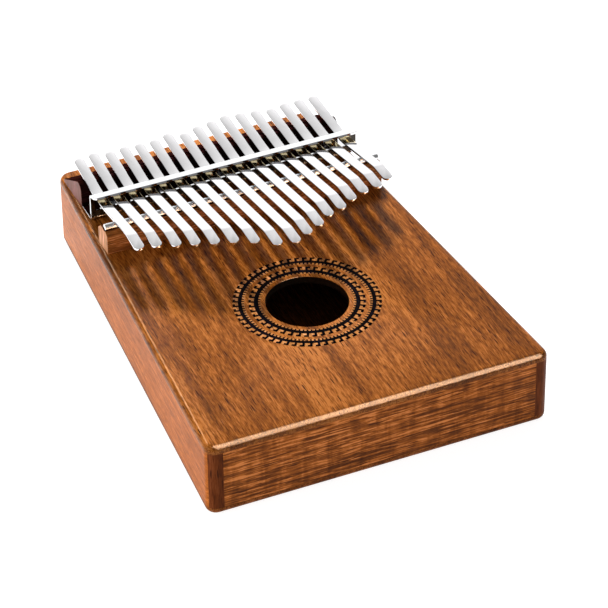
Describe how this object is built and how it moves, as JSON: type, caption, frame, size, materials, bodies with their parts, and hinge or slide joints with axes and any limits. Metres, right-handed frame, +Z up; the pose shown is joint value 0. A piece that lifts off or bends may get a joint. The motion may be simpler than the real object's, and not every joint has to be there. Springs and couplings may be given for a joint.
{
  "type": "mbira",
  "caption": "Box thumb piano: hollow tapered wooden sound box with a round sound hole, bridges, a steel pressure bracket and a fan of spring steel tines.",
  "frame": {"origin": "centre of the underside, on the centreline of the sound box at the middle of its length", "axes": "+X to the player's right, +Y from the player's end to the far end, +Z up through the top plate"},
  "size_m": [0.1344, 0.183, 0.0499],
  "materials": {
    "top_wood": "gloss lacquer over fine grained warm brown hardwood",
    "back_wood": "gloss lacquer over fine grained warm brown hardwood",
    "rail_wood": "satin lacquer over pinkish brown hardwood",
    "wall_wood": "satin lacquer over brown hardwood with dark wavy grain",
    "brace_wood": "bare pale hardwood",
    "rosette_inlay": "brown and black inlay under gloss lacquer",
    "front_bridge_wood": "satin brown hardwood",
    "rod_chrome": "polished",
    "rear_bridge_wood": "satin very dark red brown hardwood",
    "bracket_chrome": "polished",
    "screw_steel": "plated steel",
    "tine_steel": "bright polished spring steel"
  },
  "bodies": {
    "soundbox": {"top_plate": "top_wood", "back_plate": "back_wood", "side_rail_left": "rail_wood", "side_rail_right": "rail_wood", "front_wall": "wall_wood", "back_wall": "wall_wood", "bridge_brace": "brace_wood", "rosette_inner_band": "rosette_inlay", "rosette_outer_band": "rosette_inlay", "front_bridge": "front_bridge_wood", "saddle_rod": "rod_chrome", "rear_bridge": "rear_bridge_wood", "pressure_bracket": "bracket_chrome", "bracket_screws": "screw_steel"},
    "tine_01": {"tine_01": "tine_steel"},
    "tine_02": {"tine_02": "tine_steel"},
    "tine_03": {"tine_03": "tine_steel"},
    "tine_04": {"tine_04": "tine_steel"},
    "tine_05": {"tine_05": "tine_steel"},
    "tine_06": {"tine_06": "tine_steel"},
    "tine_07": {"tine_07": "tine_steel"},
    "tine_08": {"tine_08": "tine_steel"},
    "tine_09": {"tine_09": "tine_steel"},
    "tine_10": {"tine_10": "tine_steel"},
    "tine_11": {"tine_11": "tine_steel"},
    "tine_12": {"tine_12": "tine_steel"},
    "tine_13": {"tine_13": "tine_steel"},
    "tine_14": {"tine_14": "tine_steel"},
    "tine_15": {"tine_15": "tine_steel"},
    "tine_16": {"tine_16": "tine_steel"},
    "tine_17": {"tine_17": "tine_steel"}
  },
  "joints": [
    {"name": "tine_01_pluck", "type": "hinge", "parent": "soundbox", "child": "tine_01", "pos_m": [-0.04999, 0.0354, 0.0408], "axis": [1, 0, 0], "range_deg": [0, 1.2], "stiffness_Nm_per_rad": 5.6},
    {"name": "tine_02_pluck", "type": "hinge", "parent": "soundbox", "child": "tine_02", "pos_m": [-0.04361, 0.0354, 0.0408], "axis": [1, 0, 0], "range_deg": [0, 1.2], "stiffness_Nm_per_rad": 5.6},
    {"name": "tine_03_pluck", "type": "hinge", "parent": "soundbox", "child": "tine_03", "pos_m": [-0.03723, 0.0354, 0.0408], "axis": [1, 0, 0], "range_deg": [0, 1.2], "stiffness_Nm_per_rad": 5.6},
    {"name": "tine_04_pluck", "type": "hinge", "parent": "soundbox", "child": "tine_04", "pos_m": [-0.03085, 0.0354, 0.0408], "axis": [1, 0, 0], "range_deg": [0, 1.2], "stiffness_Nm_per_rad": 5.6},
    {"name": "tine_05_pluck", "type": "hinge", "parent": "soundbox", "child": "tine_05", "pos_m": [-0.02447, 0.0354, 0.0408], "axis": [1, 0, 0], "range_deg": [0, 1.2], "stiffness_Nm_per_rad": 5.6},
    {"name": "tine_06_pluck", "type": "hinge", "parent": "soundbox", "child": "tine_06", "pos_m": [-0.01809, 0.0354, 0.0408], "axis": [1, 0, 0], "range_deg": [0, 1.2], "stiffness_Nm_per_rad": 5.6},
    {"name": "tine_07_pluck", "type": "hinge", "parent": "soundbox", "child": "tine_07", "pos_m": [-0.01171, 0.0354, 0.0408], "axis": [1, 0, 0], "range_deg": [0, 1.2], "stiffness_Nm_per_rad": 5.6},
    {"name": "tine_08_pluck", "type": "hinge", "parent": "soundbox", "child": "tine_08", "pos_m": [-0.00533, 0.0354, 0.0408], "axis": [1, 0, 0], "range_deg": [0, 1.2], "stiffness_Nm_per_rad": 5.6},
    {"name": "tine_09_pluck", "type": "hinge", "parent": "soundbox", "child": "tine_09", "pos_m": [0.00105, 0.0354, 0.0408], "axis": [1, 0, 0], "range_deg": [0, 1.2], "stiffness_Nm_per_rad": 5.6},
    {"name": "tine_10_pluck", "type": "hinge", "parent": "soundbox", "child": "tine_10", "pos_m": [0.00743, 0.0354, 0.0408], "axis": [1, 0, 0], "range_deg": [0, 1.2], "stiffness_Nm_per_rad": 5.6},
    {"name": "tine_11_pluck", "type": "hinge", "parent": "soundbox", "child": "tine_11", "pos_m": [0.01381, 0.0354, 0.0408], "axis": [1, 0, 0], "range_deg": [0, 1.2], "stiffness_Nm_per_rad": 5.6},
    {"name": "tine_12_pluck", "type": "hinge", "parent": "soundbox", "child": "tine_12", "pos_m": [0.02019, 0.0354, 0.0408], "axis": [1, 0, 0], "range_deg": [0, 1.2], "stiffness_Nm_per_rad": 5.6},
    {"name": "tine_13_pluck", "type": "hinge", "parent": "soundbox", "child": "tine_13", "pos_m": [0.02657, 0.0354, 0.0408], "axis": [1, 0, 0], "range_deg": [0, 1.2], "stiffness_Nm_per_rad": 5.6},
    {"name": "tine_14_pluck", "type": "hinge", "parent": "soundbox", "child": "tine_14", "pos_m": [0.03295, 0.0354, 0.0408], "axis": [1, 0, 0], "range_deg": [0, 1.2], "stiffness_Nm_per_rad": 5.6},
    {"name": "tine_15_pluck", "type": "hinge", "parent": "soundbox", "child": "tine_15", "pos_m": [0.03933, 0.0354, 0.0408], "axis": [1, 0, 0], "range_deg": [0, 1.2], "stiffness_Nm_per_rad": 5.6},
    {"name": "tine_16_pluck", "type": "hinge", "parent": "soundbox", "child": "tine_16", "pos_m": [0.04571, 0.0354, 0.0408], "axis": [1, 0, 0], "range_deg": [0, 1.2], "stiffness_Nm_per_rad": 5.6},
    {"name": "tine_17_pluck", "type": "hinge", "parent": "soundbox", "child": "tine_17", "pos_m": [0.05209, 0.0354, 0.0408], "axis": [1, 0, 0], "range_deg": [0, 1.2], "stiffness_Nm_per_rad": 5.6}
  ]
}
